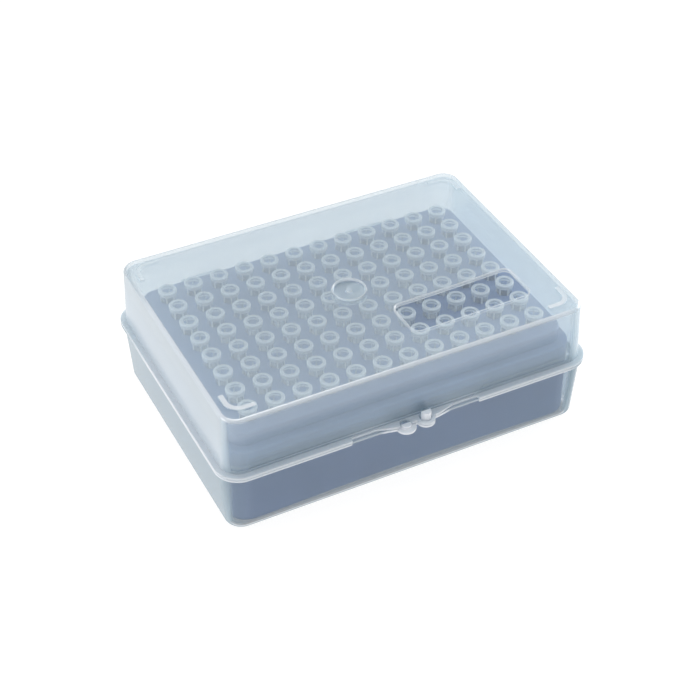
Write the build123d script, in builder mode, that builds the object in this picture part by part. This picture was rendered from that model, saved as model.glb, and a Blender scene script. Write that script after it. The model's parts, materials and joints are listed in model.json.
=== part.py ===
"""Hinged box for 96 small pipette tips: tray, lid, rack insert and twelve columns of eight tips.

The origin is the middle of the underside, on the surface that the box stands on.
X runs along the twelve columns, Y from the latch at the front to the hinge at the back, Z up.
Millimetres.
"""

from build123d import *
import math
import os

os.makedirs("parts", exist_ok=True)

# ---------------------------------------------------------------- driving dimensions

# Tip grid, the laboratory standard
pitch = 9.0
columns = 12
rows = 8

# Box outline and heights
rim_length = 127.6
rim_width = 92.0
rim_corner = 8.0
box_height = 43.35
tray_height = 22.25
seat_gap = 0.2

# Walls of the two halves
wall = 1.1
floor_thickness = 0.9
top_thickness = 1.1
tray_draft = 3.8
lid_draft = 2.4
flange_thickness = 0.8
tray_flange_reach = 1.05
lid_flange_reach = 1.8
underside_radius = 1.2
top_edge_radius = 1.3
inner_edge_radius = 0.5

# Lip on the tray that finds the lid
lip_height = 2.1
lip_thickness = 0.8
lip_clearance = 0.35

# Dished top of the lid
dish_depth = 1.6
dish_rise = 0.1
dish_overrun = 2.0

# Gate well in the middle of the lid's top
gate_diameter = 10.8
gate_depth = 1.2
gate_floor = 1.0
gate_draft = 20.0
nub_radius = 1.1
nub_height = 0.6

# Clear window panel, sunk into the top
window_length = 42.0
window_width = 15.4
window_corner = 2.6
window_x = 28.8
window_y = -21.7
window_depth = 0.4

# Stacking ribs at the top's corners
rib_inset_x = 2.8
rib_inset_y = 3.9
rib_width = 1.5
rib_height = 0.5
rib_leg = 8.5
rib_corner = 5.0

# Front relief, where the flanges stop beside the latch
relief_length = 44.0
relief_edge = 0.45
relief_corner = 0.7

# Latch
tab_length = 29.2
tab_shoulder = 14.0
tab_reach = 2.3
post_spacing = 6.8
post_shift = -0.5
post_diameter = 3.4
post_lobe_radius = 3.2
eye_lobe_radius = 3.0
short_post_height = 1.0
tall_post_height = 3.6
post_draft = 1.0
latch_clearance = 0.3
eye_standoff = 0.05

# Hinge: two pins on the tray, held by clips on the lid
hinge_spacing = 62.0
pin_diameter = 2.4
pin_clearance = 0.1
clip_radius = 2.5
clip_width = 9.0
clip_mouth = 2.1
clip_rim_gap = 0.35
lug_radius = 2.3
lug_thickness = 2.0
lug_gap = 0.3

# Rack insert
tip_stand = 4.2
tip_rim_height = 37.1
plate_length = 114.0
plate_width = 77.0
plate_corner = 5.0
plate_thickness = 1.3
plate_drop = 4.6
rack_wall = 1.2
rack_draft = 0.4
rack_play = 0.2
skirt_corner = 6.5
rack_edge_radius = 0.6
hole_diameter = 4.7
arch_height = 0.9
arch_length = 96.0

# Pipette tip
tip_length = 32.0
collar_diameter = 6.1
collar_height = 1.7
collar_radius = 0.45
neck_diameter = 4.7
body_diameter = 4.3
middle_diameter = 2.7
middle_depth = 17.0
end_diameter = 0.85
mouth_diameter = 3.9
bore_middle_diameter = 2.05
bore_end_diameter = 0.4
tip_wall = 0.35
foot_diameter = 5.3
tip_ribs = 6
tip_rib_width = 0.55
rib_turn = 17.0

# ---------------------------------------------------------------- sizes that follow

lid_seat = tray_height + seat_gap
lid_shoulder = lid_seat + flange_thickness
tray_length = rim_length - 2 * tray_flange_reach
tray_width = rim_width - 2 * tray_flange_reach
tray_corner = rim_corner - tray_flange_reach
lid_length = rim_length - 2 * lid_flange_reach
lid_width = rim_width - 2 * lid_flange_reach
lid_corner = rim_corner - lid_flange_reach
lid_flare = flange_thickness * math.tan(math.radians(lid_draft))
lid_inner_length = lid_length + 2 * lid_flare - 2 * wall
lid_inner_width = lid_width + 2 * lid_flare - 2 * wall
lid_inner_corner = lid_corner - wall
lip_length = lid_length - 2 * wall - 2 * lip_clearance
lip_width = lid_width - 2 * wall - 2 * lip_clearance
lip_corner = lid_corner - wall
mouth_length = lip_length - 2 * lip_thickness
mouth_width = lip_width - 2 * lip_thickness
mouth_corner = lip_corner - lip_thickness

tray_wall_top = tray_height - flange_thickness
cavity_length = tray_length - 2 * wall
cavity_width = tray_width - 2 * wall
cavity_corner = tray_corner - wall

top_taper = (box_height - lid_shoulder) * math.tan(math.radians(lid_draft))
top_length = lid_length - 2 * top_taper
top_width = lid_width - 2 * top_taper

front = -rim_width / 2
tray_front = -tray_width / 2
lid_front = -lid_width / 2
post_y = lid_front - latch_clearance - post_diameter / 2 - eye_standoff
short_post_x = post_shift - post_spacing / 2
tall_post_x = post_shift + post_spacing / 2

hinge_y = rim_width / 2 + clip_rim_gap + clip_radius
hinge_z = tray_height + seat_gap / 2

plate_top = tip_rim_height - tip_stand
shoulder_top = plate_top - plate_drop
skirt_height = shoulder_top - floor_thickness
skirt_flare = skirt_height * math.tan(math.radians(rack_draft))
skirt_length = mouth_length - 2 * rack_play - 2 * skirt_flare
skirt_width = mouth_width - 2 * rack_play - 2 * skirt_flare


def level(height):
    """Horizontal plane at a height, facing up."""
    return Plane.XY.offset(height)


def level_down(height):
    """Horizontal plane at a height, facing down."""
    return Plane(origin=(0, 0, height), x_dir=(1, 0, 0), z_dir=(0, 0, -1))


def across(x):
    """Plane square to the hinge line at x, with its own x along +Y and its own y up."""
    return Plane(origin=(x, 0, 0), x_dir=(0, 1, 0), z_dir=(1, 0, 0))


# ---------------------------------------------------------------- tray

with BuildPart() as tray:
    # Drafted body, narrower at the underside
    with BuildSketch(level_down(tray_height)):
        RectangleRounded(tray_length, tray_width, tray_corner)
    extrude(amount=tray_height, taper=tray_draft)
    fillet(tray.faces().sort_by(Axis.Z)[0].edges(), underside_radius)

    # Rim flange and the lip above it
    with BuildSketch(level(tray_wall_top)):
        RectangleRounded(rim_length, rim_width, rim_corner)
    extrude(amount=flange_thickness)
    with BuildSketch(level(tray_height)):
        RectangleRounded(lip_length, lip_width, lip_corner)
    extrude(amount=lip_height)

    # Inside: the mouth through the lip, and the drafted space below it
    with BuildSketch(level(tray_wall_top)):
        RectangleRounded(mouth_length, mouth_width, mouth_corner)
    extrude(amount=flange_thickness + lip_height, mode=Mode.SUBTRACT)
    with BuildSketch(level_down(tray_wall_top)):
        RectangleRounded(cavity_length, cavity_width, cavity_corner)
    extrude(amount=tray_wall_top - floor_thickness, taper=tray_draft, mode=Mode.SUBTRACT)

    # Flange relieved at the front, down to a narrow edge
    with BuildSketch(level(tray_wall_top)):
        with Locations((0, front)):
            RectangleRounded(relief_length, 2 * (tray_flange_reach - relief_edge), relief_corner / 2)
    extrude(amount=flange_thickness, mode=Mode.SUBTRACT)

    # Latch tab with a lobe under each post: a short post and a tall one
    with BuildSketch(level(tray_wall_top)):
        Polygon(
            (-tab_length / 2, tray_front),
            (-tab_shoulder / 2, lid_front - tab_reach),
            (tab_shoulder / 2, lid_front - tab_reach),
            (tab_length / 2, tray_front),
            (tab_length / 2, tray_front + wall),
            (-tab_length / 2, tray_front + wall),
            align=None,
        )
        with Locations((short_post_x, post_y)):
            Circle(post_lobe_radius)
        with Locations((tall_post_x, post_y)):
            Circle(eye_lobe_radius)
    extrude(amount=flange_thickness)
    for post_x, post_height in ((short_post_x, short_post_height), (tall_post_x, tall_post_height)):
        with BuildSketch(level(tray_height)):
            with Locations((post_x, post_y)):
                Circle(post_diameter / 2)
        extrude(amount=post_height, taper=post_draft)

    # Hinge lugs in pairs, and the pins between them
    for side in (-1, 1):
        for edge in (-1, 1):
            lug_x = side * hinge_spacing / 2 + edge * (clip_width + lug_thickness + 2 * lug_gap) / 2
            with BuildSketch(across(lug_x)):
                with Locations((hinge_y, hinge_z)):
                    Circle(lug_radius)
                with Locations((hinge_y, tray_height)):
                    Rectangle(
                        hinge_y - tray_width / 2 + wall / 2,
                        tray_height - hinge_z + lug_radius,
                        align=(Align.MAX, Align.MAX),
                    )
            extrude(amount=lug_thickness / 2, both=True)
        with BuildSketch(across(side * hinge_spacing / 2)):
            with Locations((hinge_y, hinge_z)):
                Circle(pin_diameter / 2)
        extrude(amount=clip_width / 2 + lug_gap + lug_thickness / 2, both=True)

tray.part.label = "tray"
export_step(tray.part, "parts/tray.step")

# ---------------------------------------------------------------- lid

# The top is dished: deepest in the middle, and level at its edges.
half_x = top_length / 2
half_y = top_width / 2
grid = [i / 4 - 1 for i in range(9)]
dish_grid = [
    [
        (u * half_x, v * half_y, dish_rise - (dish_depth + dish_rise) * (1 - u**2) * (1 - v**2))
        for u in grid
    ]
    for v in grid
]
dish_face = Face.make_surface_from_array_of_points(dish_grid)
dish_height = dish_depth + rib_height + dish_overrun
dish_space = extrude(dish_face, amount=dish_height, dir=(0, 0, 1))

# Space inside the lid, under a top of even thickness
with BuildPart() as lid_space:
    with BuildSketch(level(lid_seat)):
        RectangleRounded(lid_inner_length, lid_inner_width, lid_inner_corner)
    extrude(amount=box_height - top_thickness - lid_seat, taper=lid_draft)
    fillet(lid_space.faces().sort_by(Axis.Z)[-1].edges(), inner_edge_radius)
    with Locations((0, 0, box_height - top_thickness)):
        add(dish_space, mode=Mode.SUBTRACT)
    gate_under = box_height - dish_depth - gate_depth - gate_floor
    with BuildSketch(level(gate_under)):
        Circle(gate_diameter / 2 + gate_floor / 2)
    extrude(amount=box_height - gate_under, mode=Mode.SUBTRACT)

# Window panel: its outline, as deep as the panel is sunk below the dished top
with BuildPart() as window_space:
    with BuildSketch(level(box_height - dish_height)):
        with Locations((window_x, window_y)):
            RectangleRounded(window_length, window_width, window_corner)
    extrude(amount=2 * dish_height)
    with Locations((0, 0, box_height - window_depth)):
        add(dish_space, mode=Mode.INTERSECT)

with BuildPart() as lid:
    # Drafted body with soft top edges, then the flange
    with BuildSketch(level(lid_shoulder)):
        RectangleRounded(lid_length, lid_width, lid_corner)
    extrude(amount=box_height - lid_shoulder, taper=lid_draft)
    fillet(lid.faces().sort_by(Axis.Z)[-1].edges(), top_edge_radius)
    with BuildSketch(level(lid_seat)):
        RectangleRounded(rim_length, rim_width, rim_corner)
    extrude(amount=flange_thickness)

    # Dished top, window panel and the space inside
    with Locations((0, 0, box_height)):
        add(dish_space, mode=Mode.SUBTRACT)
    add(window_space.part, mode=Mode.SUBTRACT)
    add(lid_space.part, mode=Mode.SUBTRACT)

    # Gate well with the nub left by the runner
    gate_bottom = box_height - dish_depth - gate_depth
    with BuildSketch(level_down(box_height - dish_depth)):
        Circle(gate_diameter / 2)
    extrude(amount=gate_depth, taper=gate_draft, mode=Mode.SUBTRACT)
    with BuildSketch(level(box_height - dish_depth)):
        Circle(gate_diameter / 2)
    extrude(amount=dish_depth, mode=Mode.SUBTRACT)
    with BuildSketch(level(gate_bottom)):
        Circle(nub_radius)
    extrude(amount=nub_height, taper=gate_draft)

    # Stacking ribs at the four corners
    with BuildSketch(level(box_height - dish_rise)):
        RectangleRounded(top_length - 2 * rib_inset_x, top_width - 2 * rib_inset_y, rib_corner)
        RectangleRounded(
            top_length - 2 * rib_inset_x - 2 * rib_width,
            top_width - 2 * rib_inset_y - 2 * rib_width,
            rib_corner - rib_width,
            mode=Mode.SUBTRACT,
        )
        Rectangle(top_length - 2 * rib_inset_x - 2 * rib_leg, top_width, mode=Mode.SUBTRACT)
        Rectangle(top_length, top_width - 2 * rib_inset_y - 2 * rib_leg, mode=Mode.SUBTRACT)
    extrude(amount=dish_rise + rib_height)

    # Flange relieved at the front, beside the latch
    with BuildSketch(level(lid_seat)):
        with Locations((0, front)):
            RectangleRounded(relief_length, 2 * (lid_flange_reach - relief_edge), relief_corner)
    extrude(amount=flange_thickness, mode=Mode.SUBTRACT)

    # Latch tab: an eye that drops over the tall post, and an open notch round the short one
    with BuildSketch(level(lid_seat)):
        Polygon(
            (-tab_length / 2, lid_front),
            (-tab_shoulder / 2, lid_front - tab_reach),
            (tab_shoulder / 2, lid_front - tab_reach),
            (tab_length / 2, lid_front),
            (tab_length / 2, lid_front + wall / 2),
            (-tab_length / 2, lid_front + wall / 2),
            align=None,
        )
        with Locations((tall_post_x, post_y)):
            Circle(eye_lobe_radius)
    extrude(amount=flange_thickness)
    with BuildSketch(level(lid_seat)):
        with Locations((short_post_x, post_y), (tall_post_x, post_y)):
            Circle(post_diameter / 2 + latch_clearance)
    extrude(amount=flange_thickness, mode=Mode.SUBTRACT)

    # Hinge clips: open rings that snap over the tray's pins from above
    for side in (-1, 1):
        with BuildSketch(across(side * hinge_spacing / 2)):
            with Locations((hinge_y, hinge_z)):
                Circle(clip_radius)
            with Locations((hinge_y, lid_seat)):
                Rectangle(
                    hinge_y - rim_width / 2 + lid_flange_reach / 2,
                    clip_radius - (lid_seat - hinge_z) - pin_diameter / 2,
                    align=(Align.MAX, Align.MIN),
                )
            with Locations((hinge_y, hinge_z)):
                Circle(pin_diameter / 2 + pin_clearance, mode=Mode.SUBTRACT)
                Rectangle(
                    clip_mouth, 2 * clip_radius, align=(Align.CENTER, Align.MAX), mode=Mode.SUBTRACT
                )
        extrude(amount=clip_width / 2, both=True)

lid.part.label = "lid"
export_step(lid.part, "parts/lid.step")

# ---------------------------------------------------------------- rack

with BuildPart() as rack_space:
    with BuildSketch(level_down(shoulder_top - rack_wall)):
        RectangleRounded(
            skirt_length - 2 * rack_wall, skirt_width - 2 * rack_wall, skirt_corner - rack_wall
        )
    extrude(amount=skirt_height - rack_wall, taper=-rack_draft)
    with BuildSketch(level_down(plate_top - plate_thickness)):
        RectangleRounded(
            plate_length - 2 * rack_wall, plate_width - 2 * rack_wall, plate_corner - rack_wall
        )
    extrude(amount=plate_drop + rack_wall - plate_thickness)

with BuildPart() as rack:
    # Skirt, its foot just passing the tray's mouth, and the raised plate on its shoulder
    with BuildSketch(level_down(shoulder_top)):
        RectangleRounded(skirt_length, skirt_width, skirt_corner)
    extrude(amount=skirt_height, taper=-rack_draft)
    fillet(rack.faces().sort_by(Axis.Z)[-1].edges(), rack_edge_radius)
    with BuildSketch(level(shoulder_top)):
        RectangleRounded(plate_length, plate_width, plate_corner)
    extrude(amount=plate_drop)
    fillet(rack.faces().sort_by(Axis.Z)[-1].edges(), rack_edge_radius)
    add(rack_space.part, mode=Mode.SUBTRACT)

    # Holes for the tips
    with BuildSketch(level(plate_top - plate_thickness)):
        with GridLocations(pitch, pitch, columns, rows):
            Circle(hole_diameter / 2)
    extrude(amount=plate_thickness, mode=Mode.SUBTRACT)

    # The long sides arch clear of the floor between their corners
    with BuildSketch(Plane.XZ):
        with BuildLine():
            ThreePointArc(
                (-arch_length / 2, floor_thickness),
                (0, floor_thickness + arch_height),
                (arch_length / 2, floor_thickness),
            )
            Line((-arch_length / 2, floor_thickness), (arch_length / 2, floor_thickness))
        make_face()
    extrude(amount=rim_width / 2, both=True, mode=Mode.SUBTRACT)

rack.part.label = "rack"
export_step(rack.part, "parts/rack.step")

# ---------------------------------------------------------------- tips

# One tip, its rim at the origin and its point down
with BuildPart() as tip:
    with BuildSketch(Plane.XZ):
        with BuildLine():
            Polyline(
                (mouth_diameter / 2, 0),
                (collar_diameter / 2, 0),
                (collar_diameter / 2, -collar_height),
                (neck_diameter / 2, -collar_height),
                (body_diameter / 2, -tip_stand),
                (middle_diameter / 2, -middle_depth),
                (end_diameter / 2, -tip_length),
                (bore_end_diameter / 2, -tip_length),
                (bore_middle_diameter / 2, -middle_depth),
                (mouth_diameter / 2, 0),
            )
        make_face()
    revolve(axis=Axis.Z)
    collar_edges = tip.edges().filter_by(GeomType.CIRCLE).filter_by(
        lambda edge: abs(edge.radius - collar_diameter / 2) < 0.001
    )
    fillet(collar_edges, collar_radius)

    # Ribs under the collar: their feet stand on the rack's plate
    rib_root = body_diameter / 2 - tip_wall / 2
    for turn in range(tip_ribs):
        with BuildSketch(Plane.XZ.rotated((0, 0, turn * 360 / tip_ribs))):
            Polygon(
                (rib_root, -collar_height / 2),
                (collar_diameter / 2 - collar_radius, -collar_height / 2),
                (collar_diameter / 2 - collar_radius, -collar_height),
                (foot_diameter / 2, -tip_stand),
                (rib_root, -tip_stand),
                align=None,
            )
        extrude(amount=tip_rib_width / 2, both=True)

for column in range(columns):
    with BuildPart() as tips:
        for row in range(rows):
            x = (column - (columns - 1) / 2) * pitch
            y = (row - (rows - 1) / 2) * pitch
            turn = rib_turn * (column * rows + row)
            with Locations(Location((x, y, tip_rim_height), (0, 0, turn))):
                add(tip.part)
    name = f"tips_column_{column + 1:02d}"
    tips.part.label = name
    export_step(tips.part, f"parts/{name}.step")
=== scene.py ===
"""Finishes and studio for the hinged box of pipette tips.

The packed solids are the frame. Each moulding is copied from its solid: its loose triangles are
merged, its sharp edges get the small radius of a moulded edge, and it gets its plastic.
"""

import json
import math

import bpy
from mathutils import Matrix, Vector

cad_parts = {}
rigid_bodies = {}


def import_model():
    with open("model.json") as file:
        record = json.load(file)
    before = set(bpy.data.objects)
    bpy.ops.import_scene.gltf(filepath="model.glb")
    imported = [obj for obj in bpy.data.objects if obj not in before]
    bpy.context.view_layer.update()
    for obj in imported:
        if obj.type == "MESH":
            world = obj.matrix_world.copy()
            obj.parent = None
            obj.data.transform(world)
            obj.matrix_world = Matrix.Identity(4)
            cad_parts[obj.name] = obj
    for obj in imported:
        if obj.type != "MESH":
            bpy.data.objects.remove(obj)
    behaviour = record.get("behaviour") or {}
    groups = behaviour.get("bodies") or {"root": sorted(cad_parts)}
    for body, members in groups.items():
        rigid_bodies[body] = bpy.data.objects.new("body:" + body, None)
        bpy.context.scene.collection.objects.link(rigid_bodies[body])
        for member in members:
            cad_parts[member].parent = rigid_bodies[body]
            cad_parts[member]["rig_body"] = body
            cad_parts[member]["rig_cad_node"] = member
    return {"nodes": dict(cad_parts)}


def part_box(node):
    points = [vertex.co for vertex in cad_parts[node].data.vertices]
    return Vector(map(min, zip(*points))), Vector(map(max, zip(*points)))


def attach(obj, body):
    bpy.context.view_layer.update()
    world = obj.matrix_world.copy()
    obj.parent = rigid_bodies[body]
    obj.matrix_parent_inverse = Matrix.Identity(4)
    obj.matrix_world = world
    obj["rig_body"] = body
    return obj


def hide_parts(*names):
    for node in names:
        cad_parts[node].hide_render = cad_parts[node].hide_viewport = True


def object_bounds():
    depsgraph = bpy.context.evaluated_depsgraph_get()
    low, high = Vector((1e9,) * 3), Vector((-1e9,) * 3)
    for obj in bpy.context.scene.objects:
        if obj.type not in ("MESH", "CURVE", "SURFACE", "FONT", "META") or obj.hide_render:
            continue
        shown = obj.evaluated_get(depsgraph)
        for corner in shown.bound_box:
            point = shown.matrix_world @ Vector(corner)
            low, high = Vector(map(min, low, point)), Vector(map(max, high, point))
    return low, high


bl_info = {
    "name": "Pipette Tip Box",
    "version": (1, 0, 0),
    "blender": (4, 5, 0),
    "location": "3D View > Sidebar > Tip Box",
    "description": "Moulded edges, plastics and a pale studio for a hinged box of pipette tips",
    "category": "Object",
}

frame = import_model()
cad_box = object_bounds()

MM = 0.001
WHITE = (1.0, 1.0, 1.0, 1.0)
BLACK = (0.0, 0.0, 0.0, 1.0)
PLAIN_SHEEN = 0.04  # share of light that smooth plastic mirrors face on
TIP_COLUMNS = sorted(name for name in frame["nodes"] if name.startswith("tips_column"))


# ------------------------------------------------------------------ shader maths


def opaque(colour, share=1.0):
    """A share of a colour, as red, green, blue and full alpha."""
    return (*(share * part for part in colour), 1.0)


class Wire:
    """A socket of a finish, with arithmetic on values."""

    def __init__(self, finish, socket):
        self.finish = finish
        self.socket = socket

    def output(self, key):
        """Another output of the same node."""
        return Wire(self.finish, self.socket.node.outputs[key])

    def maths(self, operation, *values):
        return self.finish.node("ShaderNodeMath", values, operation=operation)

    def __add__(self, other):
        return self.maths("ADD", self, other)

    def __sub__(self, other):
        return self.maths("SUBTRACT", self, other)

    def __rsub__(self, other):
        return self.maths("SUBTRACT", other, self)

    def __mul__(self, other):
        return self.maths("MULTIPLY", self, other)

    def __mod__(self, other):
        return self.maths("MODULO", self, other)

    __radd__ = __add__
    __rmul__ = __mul__

    def __abs__(self):
        return self.maths("ABSOLUTE", self)

    def highest(self, other):
        return self.maths("MAXIMUM", self, other)

    def lowest(self, other):
        return self.maths("MINIMUM", self, other)

    def line(self, width):
        """1 where the distance is 0, easing to 0 at the width on either side."""
        return abs(self).spread(0.3 * width, width, 1.0, 0.0, "SMOOTHSTEP")

    def spread(self, low, high, to_low=0.0, to_high=1.0, easing="LINEAR"):
        """Takes low to high over to to_low to to_high, and holds the ends."""
        return self.finish.node(
            "ShaderNodeMapRange",
            {
                "Value": self,
                "From Min": low,
                "From Max": high,
                "To Min": to_low,
                "To Max": to_high,
            },
            interpolation_type=easing,
        )


class Finish:
    """The nodes of a material or of the world, under construction."""

    def __init__(self, owner):
        self.owner = owner
        owner.use_nodes = True
        self.tree = owner.node_tree
        self.tree.nodes.clear()

    def node(self, kind, inputs=(), **settings):
        """Adds a node: its settings first, then the values or links of its sockets."""
        node = self.tree.nodes.new(kind)
        for name, value in settings.items():
            setattr(node, name, value)
        pairs = inputs.items() if isinstance(inputs, dict) else enumerate(inputs)
        for key, value in pairs:
            if isinstance(value, Wire):
                self.tree.links.new(value.socket, node.inputs[key])
            else:
                node.inputs[key].default_value = value
        return Wire(self, node.outputs[0]) if node.outputs else None

    def place(self, scale=(1.0, 1.0, 1.0)):
        """Object coordinates in metres, with a scale for each axis."""
        here = self.node("ShaderNodeTexCoord").output("Object")
        return self.node("ShaderNodeMapping", {"Vector": here, "Scale": scale})

    def noise(self, scale, detail=2.0, stretch=(1.0, 1.0, 1.0), distortion=0.0):
        """Noise over 0.3 to 0.7, spread to 0 to 1."""
        raw = self.node(
            "ShaderNodeTexNoise",
            {
                "Vector": self.place(stretch),
                "Scale": scale,
                "Detail": detail,
                "Distortion": distortion,
            },
        )
        return raw.spread(0.3, 0.7)

    def axes(self):
        """X, Y and Z of the place on the object, in metres."""
        split = self.node("ShaderNodeSeparateXYZ", {"Vector": self.place()})
        return split, split.output("Y"), split.output("Z")

    def mix_colour(self, factor, first, second):
        return self.node(
            "ShaderNodeMix", {0: factor, 6: first, 7: second}, data_type="RGBA"
        ).output(2)

    def bump(self, height, strength, distance):
        return self.node(
            "ShaderNodeBump", {"Height": height, "Strength": strength, "Distance": distance}
        )

    def radius(self, x, y):
        """Distance from the middle in the XY plane."""
        return self.node(
            "ShaderNodeVectorMath",
            {0: self.node("ShaderNodeCombineXYZ", {0: x, 1: y})},
            operation="LENGTH",
        ).output("Value")

    def outline_distance(self, x, y, length, width, corner):
        """Distance to a rounded rectangle round the middle of the XY plane, negative inside it."""
        past_x = abs(x) - (length / 2 - corner)
        past_y = abs(y) - (width / 2 - corner)
        outside = self.radius(past_x.highest(0.0), past_y.highest(0.0))
        inside = past_x.highest(past_y).lowest(0.0)
        return outside + inside - corner

    def facing(self):
        """0 where a surface is seen square on, rising to 1 where it is seen edge on."""
        return self.node("ShaderNodeLayerWeight", {"Blend": 0.5}).output("Facing")

    def surface(self, shader):
        self.node("ShaderNodeOutputMaterial", {"Surface": shader})
        return self.owner


# ------------------------------------------------------------------ sizes and colours


def colour_property(name, description, default):
    return bpy.props.FloatVectorProperty(
        name=name,
        description=description,
        subtype="COLOR",
        size=3,
        min=0.0,
        max=1.0,
        default=default,
    )


def share_property(name, description, default):
    return bpy.props.FloatProperty(
        name=name, description=description, subtype="FACTOR", min=0.0, max=1.0, default=default
    )


def length_property(name, description, default):
    return bpy.props.FloatProperty(
        name=name, description=description, subtype="DISTANCE", unit="LENGTH", default=default
    )


def angle_property(name, description, default):
    return bpy.props.FloatProperty(
        name=name,
        description=description,
        subtype="ANGLE",
        unit="ROTATION",
        default=math.radians(default),
    )


def power_property(name, description, default):
    return bpy.props.FloatProperty(
        name=name, description=description, subtype="POWER", unit="POWER", min=0.0, default=default
    )


class TipBoxShells(bpy.types.PropertyGroup):
    """The two halves in natural polypropylene."""

    lid_tint: colour_property(
        "Lid tint", "Colour that the lid lets through", (0.95, 0.97, 0.98)
    )
    tray_tint: colour_property(
        "Tray tint", "Colour that the tray lets through", (0.92, 0.936, 0.952)
    )
    lid_milk: colour_property(
        "Lid milk", "Colour of the haze in the lid's walls", (0.75, 0.82, 0.86)
    )
    # Painted light: the haze over the rack is tinted bluer than the walls' haze, for the blue light
    # that the rack sends into it.
    top_milk: colour_property(
        "Top milk", "Colour of the thin haze in the lid's top and front", (0.745, 0.90, 0.978)
    )
    tray_milk: colour_property(
        "Tray milk", "Colour of the haze in the tray", (0.365, 0.505, 0.575)
    )
    # Painted highlight: the colour that edges take, partly the milkier plastic of thick edges and
    # partly painted light.
    edge_highlight_colour: colour_property("Edge milk", "Colour of the edges", (0.91, 0.945, 1.0))
    edge_haze: share_property("Edge haze", "Share of the edges that is milky", 0.85)
    lid_haze: share_property("Lid haze", "Share of the lid's surface that is milky", 0.20)
    front_haze: share_property("Front haze", "Share of the lid's front that is milky", 0.29)
    end_haze: share_property("End haze", "Milky share at the right end of the lid's front", 0.42)
    tray_haze: share_property("Tray haze", "Share of the tray's surface that is milky", 0.09)
    gate_haze: share_property("Gate haze", "Share of the gate's well that is milky", 0.36)
    window_haze: share_property("Window haze", "Share of the window that is milky", 0.06)
    lid_corner_haze: share_property("Lid corner haze", "Milky share in the lid's corners", 0.60)
    tray_corner_haze: share_property("Tray corner haze", "Milky share in the tray's corners", 0.42)
    grazing: share_property("Grazing haze", "Milky share added on surfaces seen edge on", 0.90)
    sheen: share_property("Sheen", "Share of light that the lid's top mirrors face on", 0.08)
    glow: share_property("Glow", "Share of the haze that passes light on", 0.50)
    edge_radius: length_property("Edge radius", "Radius of the moulded edges", 0.18 * MM)
    rim_width: length_property("Rim width", "Width of the flanges' outline", 92.0 * MM)
    rim_corner: length_property("Rim corner", "Corner radius of the flanges", 8.0 * MM)
    tray_height: length_property("Tray height", "Top of the tray's flange", 22.25 * MM)
    lid_seat: length_property("Lid seat", "Underside of the lid's flange", 22.45 * MM)
    lip_top: length_property("Lip top", "Top of the tray's lip, which shows in the lid", 24.4 * MM)
    wall_length: length_property("Wall length", "Length of the walls near the flanges", 124.0 * MM)
    wall_width: length_property("Wall width", "Width of the walls near the flanges", 88.0 * MM)
    wall_corner: length_property("Wall corner", "Corner radius of the walls", 6.0 * MM)
    top_length: length_property("Top length", "Length of the lid's top", 122.32 * MM)
    top_width: length_property("Top width", "Width of the lid's top", 86.72 * MM)
    top_corner: length_property("Top corner", "Corner radius of the lid's top", 5.4 * MM)
    gate_radius: length_property("Gate radius", "Radius of the gate's ring", 5.35 * MM)
    nub_radius: length_property("Nub radius", "Radius of the nub in the gate's well", 0.9 * MM)
    window_x: length_property("Window X", "Middle of the window panel", 28.8 * MM)
    window_y: length_property("Window Y", "Middle of the window panel", -21.7 * MM)
    window_length: length_property("Window length", "Along X", 42.0 * MM)
    window_width: length_property("Window width", "Along Y", 15.4 * MM)
    window_corner: length_property("Window corner", "Corner radius", 2.6 * MM)


class TipBoxRack(bpy.types.PropertyGroup):
    """The rack insert."""

    colour: colour_property("Colour", "Blue-grey plastic", (0.213, 0.298, 0.487))
    edge_radius: length_property("Edge radius", "Radius of the moulded edges", 0.15 * MM)


class TipBoxTips(bpy.types.PropertyGroup):
    """The pipette tips."""

    tint: colour_property("Tint", "Colour that the plastic passes on", (0.955, 0.98, 1.0))
    milk: colour_property("Milk", "Colour of the milky haze", (0.95, 0.98, 1.0))
    haze: share_property("Haze", "Share of the surface that is milky", 0.14)
    collar_haze: share_property("Collar haze", "Haze added on the collars", 0.48)
    bore_haze: share_property("Bore haze", "Haze on the wall of the bore", 0.06)
    edge_haze: share_property("Edge haze", "Share of the edges that is milky", 0.85)
    pitch: length_property("Pitch", "From tip to tip", 9.0 * MM)
    mouth_radius: length_property("Mouth radius", "Radius of the bore at the mouth", 1.95 * MM)
    neck_radius: length_property("Neck radius", "Radius of the neck between its ribs", 2.35 * MM)
    collar_radius: length_property("Collar radius", "Radius of the collar's edge", 2.85 * MM)
    collar_height: length_property("Collar height", "From the mouth to the neck", 1.65 * MM)


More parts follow.
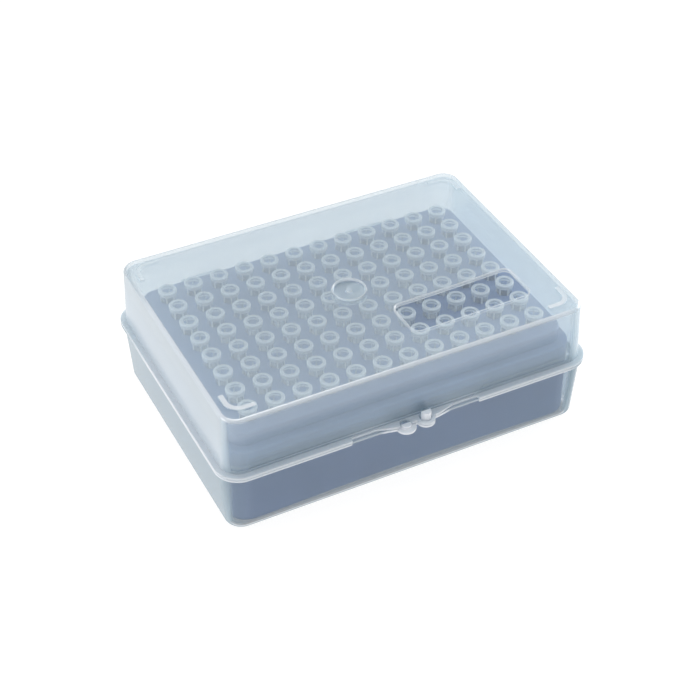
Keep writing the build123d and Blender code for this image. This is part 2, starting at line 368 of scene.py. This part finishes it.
class TipBoxStudio(bpy.types.PropertyGroup):
    """Camera, floor and lights."""

    azimuth: angle_property("Azimuth", "Camera's turn round the object", -26.88)
    elevation: angle_property("Elevation", "Camera's height above the horizon", 39.69)
    roll: angle_property("Roll", "Camera's tilt", 0.10)
    distance: length_property("Distance", "Camera to the aim point", 519.27 * MM)
    aim_x: length_property("Aim X", "Point at the middle of the view", -2.70 * MM)
    aim_y: length_property("Aim Y", "Point at the middle of the view", -6.03 * MM)
    aim_z: length_property("Aim Z", "Point at the middle of the view", 22.0 * MM)
    lens: bpy.props.FloatProperty(
        name="Lens",
        description="Focal length in millimetres",
        subtype="DISTANCE_CAMERA",
        default=83.1,
    )
    surround: share_property("Surround", "Strength of the white surround", 0.95)
    front_surround: share_property("Front surround", "Strength of the surround's front", 0.55)
    overhead: power_property("Overhead light", "Power of the overhead light", 1.2)
    left: power_property("Left light", "Power of the left light", 0.7)
    right: power_property("Right light", "Power of the right light", 2.2)
    floor_size: length_property("Floor size", "Length of the floor's sides", 3000.0 * MM)
    floor_gap: length_property("Floor gap", "From the floor to the box's foot", 0.02 * MM)
    foot_inset: length_property("Foot inset", "From the rim's ends to the foot", 3.5 * MM)
    foot_width: length_property("Foot width", "Width of the tray's foot", 85.0 * MM)
    foot_corner: length_property("Foot corner", "Corner radius of the foot", 5.0 * MM)
    floor_glow: share_property("Floor glow", "Strength of the white floor's light", 0.88)
    # Painted shadow: the floor gives off less light under the box.
    painted_shadow_glow: share_property("Under glow", "Share of the floor's glow under the box", 0.42)


GROUPS = {
    "tip_box_shells": TipBoxShells,
    "tip_box_rack": TipBoxRack,
    "tip_box_tips": TipBoxTips,
    "tip_box_studio": TipBoxStudio,
}


# ------------------------------------------------------------------ modelling


def deselect_all():
    if bpy.context.object and bpy.context.object.mode != "OBJECT":
        bpy.ops.object.mode_set(mode="OBJECT")
    bpy.ops.object.select_all(action="DESELECT")


def solid_copy(node, name):
    """A free copy of a solid, in its place, with its triangles merged into flat faces."""
    deselect_all()
    source = frame["nodes"][node]
    source.select_set(True)
    bpy.context.view_layer.objects.active = source
    bpy.ops.object.duplicate(linked=False)
    piece = bpy.context.object
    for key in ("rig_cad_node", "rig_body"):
        if key in piece:
            del piece[key]
    piece.parent = None
    piece.name = name
    piece.data.name = name

    bpy.ops.object.mode_set(mode="EDIT")
    bpy.ops.mesh.customdata_custom_splitnormals_clear()
    bpy.ops.mesh.select_all(action="SELECT")
    bpy.ops.mesh.remove_doubles(threshold=0.002 * MM)
    bpy.ops.mesh.dissolve_limited(angle_limit=math.radians(0.4))
    bpy.ops.object.mode_set(mode="OBJECT")
    return piece


def soften_edges(piece, edge_radius, sharp):
    """Rounds the edges that turn by more than an angle, and marks the new faces."""
    soften = piece.modifiers.new("Moulded edges", "BEVEL")
    soften.width = edge_radius
    soften.segments = 2
    soften.limit_method = "ANGLE"
    soften.angle_limit = sharp
    soften.use_clamp_overlap = True
    piece.data.materials.clear()
    piece.data.materials.append(None)
    piece.data.materials.append(None)
    soften.material = 1
    bpy.ops.object.modifier_apply(modifier=soften.name)
    rounded = [float(face.material_index) for face in piece.data.polygons]
    marks = piece.data.attributes.new("moulded_edge", "FLOAT", "FACE")
    marks.data.foreach_set("value", rounded)
    piece.data.polygons.foreach_set("material_index", [0] * len(rounded))
    piece.data.materials.clear()


def moulded_copy(node, name, body, edge_radius):
    """A copy of a solid with softened edges and smooth shading, which replaces the solid."""
    piece = solid_copy(node, name)
    sharp = math.radians(30.0)
    soften_edges(piece, edge_radius, sharp)
    bpy.ops.object.shade_smooth_by_angle(angle=sharp)
    flatten = piece.modifiers.new("Flat faces stay flat", "WEIGHTED_NORMAL")
    flatten.keep_sharp = True
    bpy.ops.object.modifier_apply(modifier=flatten.name)
    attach(piece, body)
    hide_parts(node)
    return piece


# ------------------------------------------------------------------ finishes


def milk_shader(finish, colour, passed, glow, normal):
    """Milky haze: part of the light comes back from it, and part goes on through it."""
    back = finish.node(
        "ShaderNodeBsdfPrincipled",
        {"Base Color": colour, "Roughness": 0.6, "Specular IOR Level": 0.0, "Normal": normal},
    )
    through = finish.node("ShaderNodeBsdfTranslucent", {"Color": (*passed, 1.0)})
    return finish.node("ShaderNodeMixShader", {0: glow, 1: back, 2: through})


def glossy_plastic(finish, tint, opacity, milk, normal, gloss, sheen=PLAIN_SHEEN):
    """Clear and milky shares of a plastic wall, under the gloss of its surface."""
    clear_wall = finish.node("ShaderNodeBsdfTransparent", {"Color": (*tint, 1.0)})
    body = finish.node("ShaderNodeMixShader", {0: opacity, 1: clear_wall, 2: milk})
    mirror = finish.node(
        "ShaderNodeBsdfGlossy", {"Color": WHITE, "Roughness": gloss, "Normal": normal}
    )
    facing = finish.facing()
    square = facing * facing
    share = sheen + (1.0 - sheen) * (square * square * facing)
    return finish.node("ShaderNodeMixShader", {0: share, 1: body, 2: mirror})


class ShellFinish(Finish):
    """The finish of the tray or the lid, with the places and the marks that it depends on."""

    def __init__(self, name, shells):
        super().__init__(bpy.data.materials.new(name))
        self.shells = shells
        self.x, self.y, self.z = self.axes()
        self.cloud = self.noise(70.0, detail=2.0)
        self.flow = self.noise(300.0, detail=1.0, stretch=(1.0, 1.0, 0.08))
        self.corners = self.corner_haze()

    def outline(self, length, width, corner):
        """Distance to a rounded rectangle seen from above, negative inside it."""
        return self.outline_distance(self.x, self.y, length, width, corner)

    def top_outline(self):
        """Distance to the outline of the lid's top."""
        shells = self.shells
        return self.outline(shells.top_length, shells.top_width, shells.top_corner)

    def window_outline(self):
        """Distance to the outline of the lid's window."""
        shells = self.shells
        return self.outline_distance(
            self.x - shells.window_x,
            self.y - shells.window_y,
            shells.window_length,
            shells.window_width,
            shells.window_corner,
        )

    def gate_distance(self):
        """Distance from the middle of the gate."""
        return self.radius(self.x, self.y)

    def rim_line(self):
        """1 along the outer edge of the flanges."""
        shells = self.shells
        rim = self.outline(2 * cad_box[1].x, shells.rim_width, shells.rim_corner)
        return rim.spread(-0.6 * MM, -0.3 * MM)

    def latch(self):
        """1 on the latch, which stands out at the front."""
        front = -self.shells.rim_width / 2
        return self.y.spread(front - 0.1 * MM, front + 0.1 * MM, 1.0, 0.0)

    def moulded_edge(self):
        """1 on the faces that round the moulded edges."""
        return self.node("ShaderNodeAttribute", attribute_name="moulded_edge").output("Fac")

    def corner_haze(self):
        """1 where the ends turn into the corners, easing off along the front and the back."""
        shells = self.shells
        corner = shells.wall_corner
        along = abs(self.x) - (shells.wall_length / 2 - corner)
        across = abs(self.y) - (shells.wall_width / 2 - corner)
        turn = along.spread(0.5 * corner, 0.85 * corner, easing="SMOOTHSTEP")
        soft = along.spread(-0.6 * corner, 0.6 * corner, 0.0, 0.4, "SMOOTHSTEP")
        return turn.highest(soft) * across.spread(0.0, 0.25 * corner)

    def fading(self, start, end, at_back, at_right):
        """1, easing off towards the back and the right end, where edges catch less light."""
        backwards = self.y.spread(start, end, 1.0, at_back)
        rightwards = self.x.spread(54.0 * MM, 60.0 * MM, 1.0, at_right)
        return backwards.lowest(rightwards)

    def brightness(self, edge):
        """Share of the edges' whiter colour and sheen that the surface takes: a painted highlight,
        partly the milkier plastic of thick edges.
        """
        lit = edge.highest(0.25 * self.corners)
        return lit * self.fading(15.0 * MM, 35.0 * MM, 0.1, 0.3)

    def clouded(self, haze):
        """Haze with mould-flow clouds in it."""
        return haze * (0.9 + 0.12 * self.cloud + 0.08 * self.flow)

    def plastic(self, tint, milk, colour, milkiness, edge, edge_highlight, sheen, glow):
        """Clear enough to see through face on, milky along edges and towards grazing."""
        shells = self.shells
        specks = self.noise(1900.0, detail=0.0).spread(0.97, 0.99) * self.cloud.spread(0.5, 0.7)
        hidden = milkiness.highest(0.2 * specks).highest(shells.edge_haze * edge)
        grazing = self.facing().spread(0.40, 0.62, 0.0, shells.grazing, "SMOOTHSTEP")
        opacity = hidden + (1.0 - hidden) * grazing
        # Painted highlight: edges take the whiter edge colour here and extra sheen below.
        colour = self.mix_colour(edge_highlight, colour, opaque(shells.edge_highlight_colour))
        normal = self.bump(self.noise(5200.0, detail=1.0), 0.05, 0.02 * MM)
        haze = milk_shader(self, colour, milk, glow, normal)
        sheen = sheen + 0.12 * edge_highlight
        return self.surface(glossy_plastic(self, tint, opacity, haze, normal, 0.16, sheen))


def tray_edges(finish):
    """1 along the tray's flange, latch and moulded edges, less along its underside's edge."""
    top = finish.shells.tray_height
    z = finish.z
    under_lid = z.spread(top, top + 0.1 * MM, 1.0, 0.0)
    flange = z.spread(top - 0.9 * MM, top - 0.75 * MM) * under_lid
    foot = z.spread(0.5 * MM, 1.1 * MM, 1.0, 0.0)
    flange = flange * (0.6 + 0.3 * finish.rim_line())
    moulded = 0.55 * finish.moulded_edge()
    return flange.highest(0.12 * foot).highest(finish.latch()).highest(moulded)


def tray_plastic(shells):
    """Natural plastic of the tray: thin haze that shows the rack, milky in its corners."""
    finish = ShellFinish("tray_polypropylene", shells)
    corners = shells.tray_corner_haze * finish.corners
    edge = tray_edges(finish)
    edge_highlight = finish.brightness(edge)
    return finish.plastic(
        tint=shells.tray_tint,
        milk=shells.tray_milk,
        colour=opaque(shells.tray_milk),
        milkiness=finish.clouded(shells.tray_haze).highest(corners),
        edge=edge,
        edge_highlight=edge_highlight,
        sheen=PLAIN_SHEEN,
        # Painted highlight: highlighted edges pass less light on and send more of it back.
        glow=shells.glow * (1.0 - 0.8 * edge_highlight),
    )


def lid_edges(finish):
    """1 along the lid's edges, ribs, gate, window outline and flange, where light gathers."""
    shells = finish.shells
    z = finish.z
    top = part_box("lid")[1].z
    top_edge = (finish.top_outline() + 0.55 * MM).line(0.95 * MM)
    top_edge = top_edge * z.spread(top - 2.0 * MM, top - 1.2 * MM)
    ribs = 0.8 * z.spread(top - 0.42 * MM, top - 0.30 * MM)
    moulded = 0.6 * finish.moulded_edge()
    outer = finish.fading(20.0 * MM, 38.0 * MM, 0.3, 0.55) * top_edge.highest(ribs).highest(moulded)

    plate = z.spread(top - 4.5 * MM, top - 3.5 * MM)
    strongest_at_back = (finish.y - shells.window_y).spread(0.0, 2.0 * MM, 0.65, 1.0)
    window = finish.window_outline().line(0.36 * MM) * strongest_at_back
    from_gate = finish.gate_distance()
    nub = 0.6 * (from_gate - shells.nub_radius).line(0.25 * MM)
    gate = (from_gate - shells.gate_radius).line(0.32 * MM).highest(nub)

    flange_top = shells.lid_seat + 0.85 * MM
    flange = z.spread(flange_top, flange_top + 0.15 * MM, 1.0, 0.0)
    flange = flange * (0.92 + 0.08 * finish.rim_line())
    # Painted light: a faint whiter line on the lid's wall where the tray's lip shows through it.
    lip = 0.2 * (z - shells.lip_top).line(0.4 * MM)
    lines = plate * window.highest(gate)
    return outer.highest(lines).highest(flange).highest(lip).highest(0.9 * finish.latch())


def lid_plastic(shells):
    """Natural plastic of the lid: hazy walls and top, a milky front and a clear window."""
    finish = ShellFinish("lid_polypropylene", shells)
    x, y, z = finish.x, finish.y, finish.z
    front_wall = -shells.wall_width / 2
    front = y.spread(front_wall + 3.0 * MM, front_wall + 5.0 * MM, 1.0, 0.0)
    top_outline = finish.top_outline()
    above_rack = z.spread(35.0 * MM, 37.0 * MM)
    panel = above_rack * finish.window_outline().spread(-0.15 * MM, 0.0, 1.0, 0.0)
    well = above_rack * (finish.gate_distance() - shells.gate_radius).spread(
        -0.35 * MM, -0.15 * MM, 1.0, 0.0
    )

    # Painted shade: the walls' haze is lighter low down and darker near the top, for how the light
    # falls on them.
    walls = finish.mix_colour(
        z.spread(25.0 * MM, 42.0 * MM), opaque(shells.lid_milk, 1.20), opaque(shells.lid_milk, 0.80)
    )
    # Painted light: the top and the front, where the rack lies behind, take the bluer haze.
    thin = top_outline.spread(-1.5 * MM, -0.5 * MM, 1.0, 0.0).highest(front)
    colour = finish.mix_colour(thin, walls, opaque(shells.top_milk))

    milkiness = finish.clouded(shells.lid_haze) * y.spread(-40.0 * MM, 30.0 * MM, 0.95, 1.15)
    front_haze = shells.front_haze * z.spread(27.0 * MM, 39.0 * MM, 1.0, 0.6)
    end_haze = shells.end_haze * x.spread(54.0 * MM, 57.5 * MM, easing="SMOOTHSTEP")
    milkiness = milkiness.highest(front * front_haze.highest(end_haze))
    milkiness = milkiness * (1.0 - panel) + shells.window_haze * panel
    milkiness = milkiness.highest(shells.gate_haze * well)

    edge = lid_edges(finish)
    edge_highlight = finish.brightness(edge)
    inside = top_outline.spread(-2.2 * MM, -1.4 * MM, 1.0, 0.0)
    sheen = PLAIN_SHEEN + (shells.sheen - PLAIN_SHEEN) * above_rack * (1.0 - panel)
    return finish.plastic(
        tint=shells.lid_tint,
        milk=shells.lid_milk,
        colour=colour,
        milkiness=milkiness.highest(shells.lid_corner_haze * finish.corners),
        edge=edge,
        edge_highlight=edge_highlight,
        sheen=sheen + 0.24 * (edge * above_rack * inside),
        glow=shells.glow,
    )


def rack_plastic(rack):
    """Blue-grey satin plastic with a fine grain."""
    finish = Finish(bpy.data.materials.new("rack_polypropylene"))
    cloud = finish.noise(60.0, detail=3.0)
    grain = finish.noise(4200.0, detail=2.0)
    shader = finish.node(
        "ShaderNodeBsdfPrincipled",
        {
            "Base Color": finish.mix_colour(cloud, opaque(rack.colour, 0.88), opaque(rack.colour)),
            "Roughness": 0.38 + 0.10 * cloud,
            "IOR": 1.49,
            "Normal": finish.bump(grain, 0.15, 0.02 * MM),
        },
    )
    return finish.surface(shader)


def tip_edges(tips, radius, height):
    """1 along the edges of the collar, the mouth and the ribs of a tip."""
    foot = -tips.collar_height
    outer = (radius - tips.collar_radius).line(0.45 * MM) * height.spread(-0.7 * MM, -0.4 * MM)
    mouth = (radius - tips.mouth_radius).line(0.25 * MM) * height.spread(-0.5 * MM, -0.2 * MM)
    collar_foot = (height - foot).line(0.3 * MM) * radius.spread(2.3 * MM, 2.6 * MM)
    below = height.spread(foot - 0.25 * MM, foot - 0.05 * MM, 1.0, 0.0)
    ribs = below * radius.spread(tips.neck_radius, tips.neck_radius + 0.15 * MM)
    return outer.highest(mouth).highest(collar_foot).highest(0.75 * ribs)


def tip_plastic(tips):
    """Polished natural plastic, thin and nearly clear."""
    finish = Finish(bpy.data.materials.new("tip_polypropylene"))
    cloud = finish.noise(500.0, detail=2.0)
    x, y, z = finish.axes()
    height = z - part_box(TIP_COLUMNS[0])[1].z
    off_x = (x + 6 * tips.pitch) % tips.pitch - tips.pitch / 2
    off_y = (y + 6 * tips.pitch) % tips.pitch - tips.pitch / 2
    radius = finish.radius(off_x, off_y)
    foot = -tips.collar_height
    collar = height.spread(foot - 0.25 * MM, foot + 0.05 * MM)
    outside = radius.spread(tips.mouth_radius, tips.mouth_radius + 0.1 * MM)
    body = tips.bore_haze + (tips.haze - tips.bore_haze + tips.collar_haze * collar) * outside
    edge = tips.edge_haze * tip_edges(tips, radius, height)
    milkiness = (body * (0.9 + 0.2 * cloud)).highest(edge)
    opacity = milkiness + (1.0 - milkiness) * finish.facing().spread(0.45, 1.0, 0.0, 0.8)
    normal = finish.bump(finish.noise(9000.0, detail=1.0), 0.03, 0.01 * MM)
    milk = milk_shader(finish, opaque(tips.milk), tips.milk, 0.2, normal)
    return finish.surface(glossy_plastic(finish, tips.tint, opacity, milk, normal, 0.08))


# ------------------------------------------------------------------ studio


def allow_bounces(cycles):
    """Enough bounces for light to get through the lid, the tips and the tray."""
    cycles.max_bounces = 10
    cycles.transmission_bounces = 10
    cycles.transparent_max_bounces = 32
    cycles.diffuse_bounces = 3
    cycles.glossy_bounces = 3
    cycles.sample_clamp_indirect = 6.0


def white_surround(studio):
    """A white world, dimmer at the front."""
    surround = Finish(bpy.data.worlds.new("white_surround"))
    sky = surround.node("ShaderNodeTexCoord").output("Generated")
    depth = surround.node("ShaderNodeSeparateXYZ", {"Vector": sky}).output("Y")
    strength = depth.spread(-0.9, 0.3, studio.front_surround, studio.surround, "SMOOTHSTEP")
    light = surround.node("ShaderNodeBackground", {"Color": WHITE, "Strength": strength})
    surround.node("ShaderNodeOutputWorld", {"Surface": light})
    return surround.owner


def floor_surface(studio):
    """White that gives off light, dimmer where the box stands, as a painted shadow."""
    finish = Finish(bpy.data.materials.new("white_floor"))
    speckle = finish.noise(900.0, detail=2.0)
    x, y, z = finish.axes()
    foot_length = 2 * (cad_box[1].x - studio.foot_inset)
    beyond = finish.outline_distance(x, y, foot_length, studio.foot_width, studio.foot_corner)
    # Painted shadow: the glow drops to a share inside the outline of the tray's foot.
    lit = beyond.spread(-0.5 * MM, 0.0, studio.painted_shadow_glow, 1.0, "SMOOTHSTEP")
    shader = finish.node(
        "ShaderNodeBsdfPrincipled",
        {
            "Base Color": finish.mix_colour(
                speckle, (0.18, 0.18, 0.18, 1.0), (0.20, 0.20, 0.20, 1.0)
            ),
            "Roughness": 0.9,
            "Emission Color": finish.mix_colour(lit, BLACK, WHITE),
            "Emission Strength": studio.floor_glow,
        },
    )
    return finish.surface(shader)


def add_floor(studio):
    deselect_all()
    height = cad_box[0].z - studio.floor_gap
    bpy.ops.mesh.primitive_plane_add(size=studio.floor_size, location=(0.0, 0.0, height))
    floor = bpy.context.object
    floor.name = "floor"
    bpy.ops.object.transform_apply(location=True, rotation=False, scale=False)
    floor.data.materials.append(floor_surface(studio))


def add_light(scene, name, place, size, power):
    """A square light that faces the box."""
    light = bpy.data.lights.new(name, "AREA")
    light.shape = "SQUARE"
    light.size = size
    light.energy = power
    lamp = bpy.data.objects.new(name, light)
    lamp.location = place
    towards = Vector((0.0, 0.0, 0.02)) - Vector(place)
    lamp.rotation_euler = towards.to_track_quat("-Z", "Y").to_euler()
    scene.collection.objects.link(lamp)


def add_camera(scene, studio):
    """A camera that circles the aim point."""
    camera = bpy.data.objects.new("camera", bpy.data.cameras.new("camera"))
    camera.data.lens = studio.lens
    camera.data.clip_start = 0.01
    camera.data.clip_end = 10.0
    level = math.cos(studio.elevation)
    back = Vector(
        (
            math.sin(studio.azimuth) * level,
            -math.cos(studio.azimuth) * level,
            math.sin(studio.elevation),
        )
    )
    aim = Vector((studio.aim_x, studio.aim_y, studio.aim_z))
    camera.matrix_world = (
        Matrix.Translation(aim + back * studio.distance)
        @ (-back).to_track_quat("-Z", "Y").to_matrix().to_4x4()
        @ Matrix.Rotation(studio.roll, 4, "Z")
    )
    scene.collection.objects.link(camera)
    scene.camera = camera


# ------------------------------------------------------------------ operators


class TIPBOX_OT_tray(bpy.types.Operator):
    """Model the tray's moulded edges and give it its plastic"""

    bl_idname = "tip_box.tray"
    bl_label = "Tray"

    def execute(self, context):
        shells = context.scene.tip_box_shells
        piece = moulded_copy("tray", "tray_shell", "base", shells.edge_radius)
        piece.data.materials.append(tray_plastic(shells))
        return {"FINISHED"}


class TIPBOX_OT_lid(bpy.types.Operator):
    """Model the lid's moulded edges and give it its plastic and clear window"""

    bl_idname = "tip_box.lid"
    bl_label = "Lid"

    def execute(self, context):
        shells = context.scene.tip_box_shells
        piece = moulded_copy("lid", "lid_shell", "lid", shells.edge_radius)
        piece.data.materials.append(lid_plastic(shells))
        return {"FINISHED"}


class TIPBOX_OT_rack(bpy.types.Operator):
    """Model the rack's moulded edges and give it its plastic"""

    bl_idname = "tip_box.rack"
    bl_label = "Rack"

    def execute(self, context):
        rack = context.scene.tip_box_rack
        piece = moulded_copy("rack", "rack_insert", "base", rack.edge_radius)
        piece.data.materials.append(rack_plastic(rack))
        return {"FINISHED"}


class TIPBOX_OT_tips(bpy.types.Operator):
    """Give the twelve columns of tips their plastic"""

    bl_idname = "tip_box.tips"
    bl_label = "Tips"

    def execute(self, context):
        plastic = tip_plastic(context.scene.tip_box_tips)
        for name in TIP_COLUMNS:
            column = frame["nodes"][name].data
            column.materials.clear()
            column.materials.append(plastic)
        return {"FINISHED"}


class TIPBOX_OT_studio(bpy.types.Operator):
    """Build the pale floor, the surround, the lights and the camera"""

    bl_idname = "tip_box.studio"
    bl_label = "Studio"

    def execute(self, context):
        scene = context.scene
        studio = scene.tip_box_studio
        scene.view_settings.view_transform = "Standard"
        allow_bounces(scene.cycles)
        scene.world = white_surround(studio)
        add_floor(studio)
        add_light(scene, "overhead", (0.05, 0.15, 0.85), 0.50, studio.overhead)
        add_light(scene, "left", (-0.65, 0.10, 0.20), 0.40, studio.left)
        add_light(scene, "right", (0.65, 0.10, 0.20), 0.40, studio.right)
        add_camera(scene, studio)
        return {"FINISHED"}


class TIPBOX_PT_panel(bpy.types.Panel):
    """Lists the steps and their settings"""

    bl_label = "Tip Box"
    bl_idname = "TIPBOX_PT_panel"
    bl_space_type = "VIEW_3D"
    bl_region_type = "UI"
    bl_category = "Tip Box"

    def draw(self, context):
        for step in STEPS:
            self.layout.operator(step.bl_idname)
        for name, group in GROUPS.items():
            box = self.layout.box()
            box.label(text=group.__doc__)
            for key in group.__annotations__:
                box.prop(getattr(context.scene, name), key)


STEPS = (TIPBOX_OT_studio, TIPBOX_OT_tray, TIPBOX_OT_lid, TIPBOX_OT_rack, TIPBOX_OT_tips)


def register():
    for group in GROUPS.values():
        bpy.utils.register_class(group)
    for name, group in GROUPS.items():
        setattr(bpy.types.Scene, name, bpy.props.PointerProperty(type=group))
    for step in STEPS:
        bpy.utils.register_class(step)
    bpy.utils.register_class(TIPBOX_PT_panel)


def unregister():
    bpy.utils.unregister_class(TIPBOX_PT_panel)
    for step in reversed(STEPS):
        bpy.utils.unregister_class(step)
    for name, group in GROUPS.items():
        delattr(bpy.types.Scene, name)
        bpy.utils.unregister_class(group)


def main():
    register()
    bpy.ops.tip_box.studio()
    bpy.ops.tip_box.tray()
    bpy.ops.tip_box.lid()
    bpy.ops.tip_box.rack()
    bpy.ops.tip_box.tips()


if __name__ == "__main__":
    main()
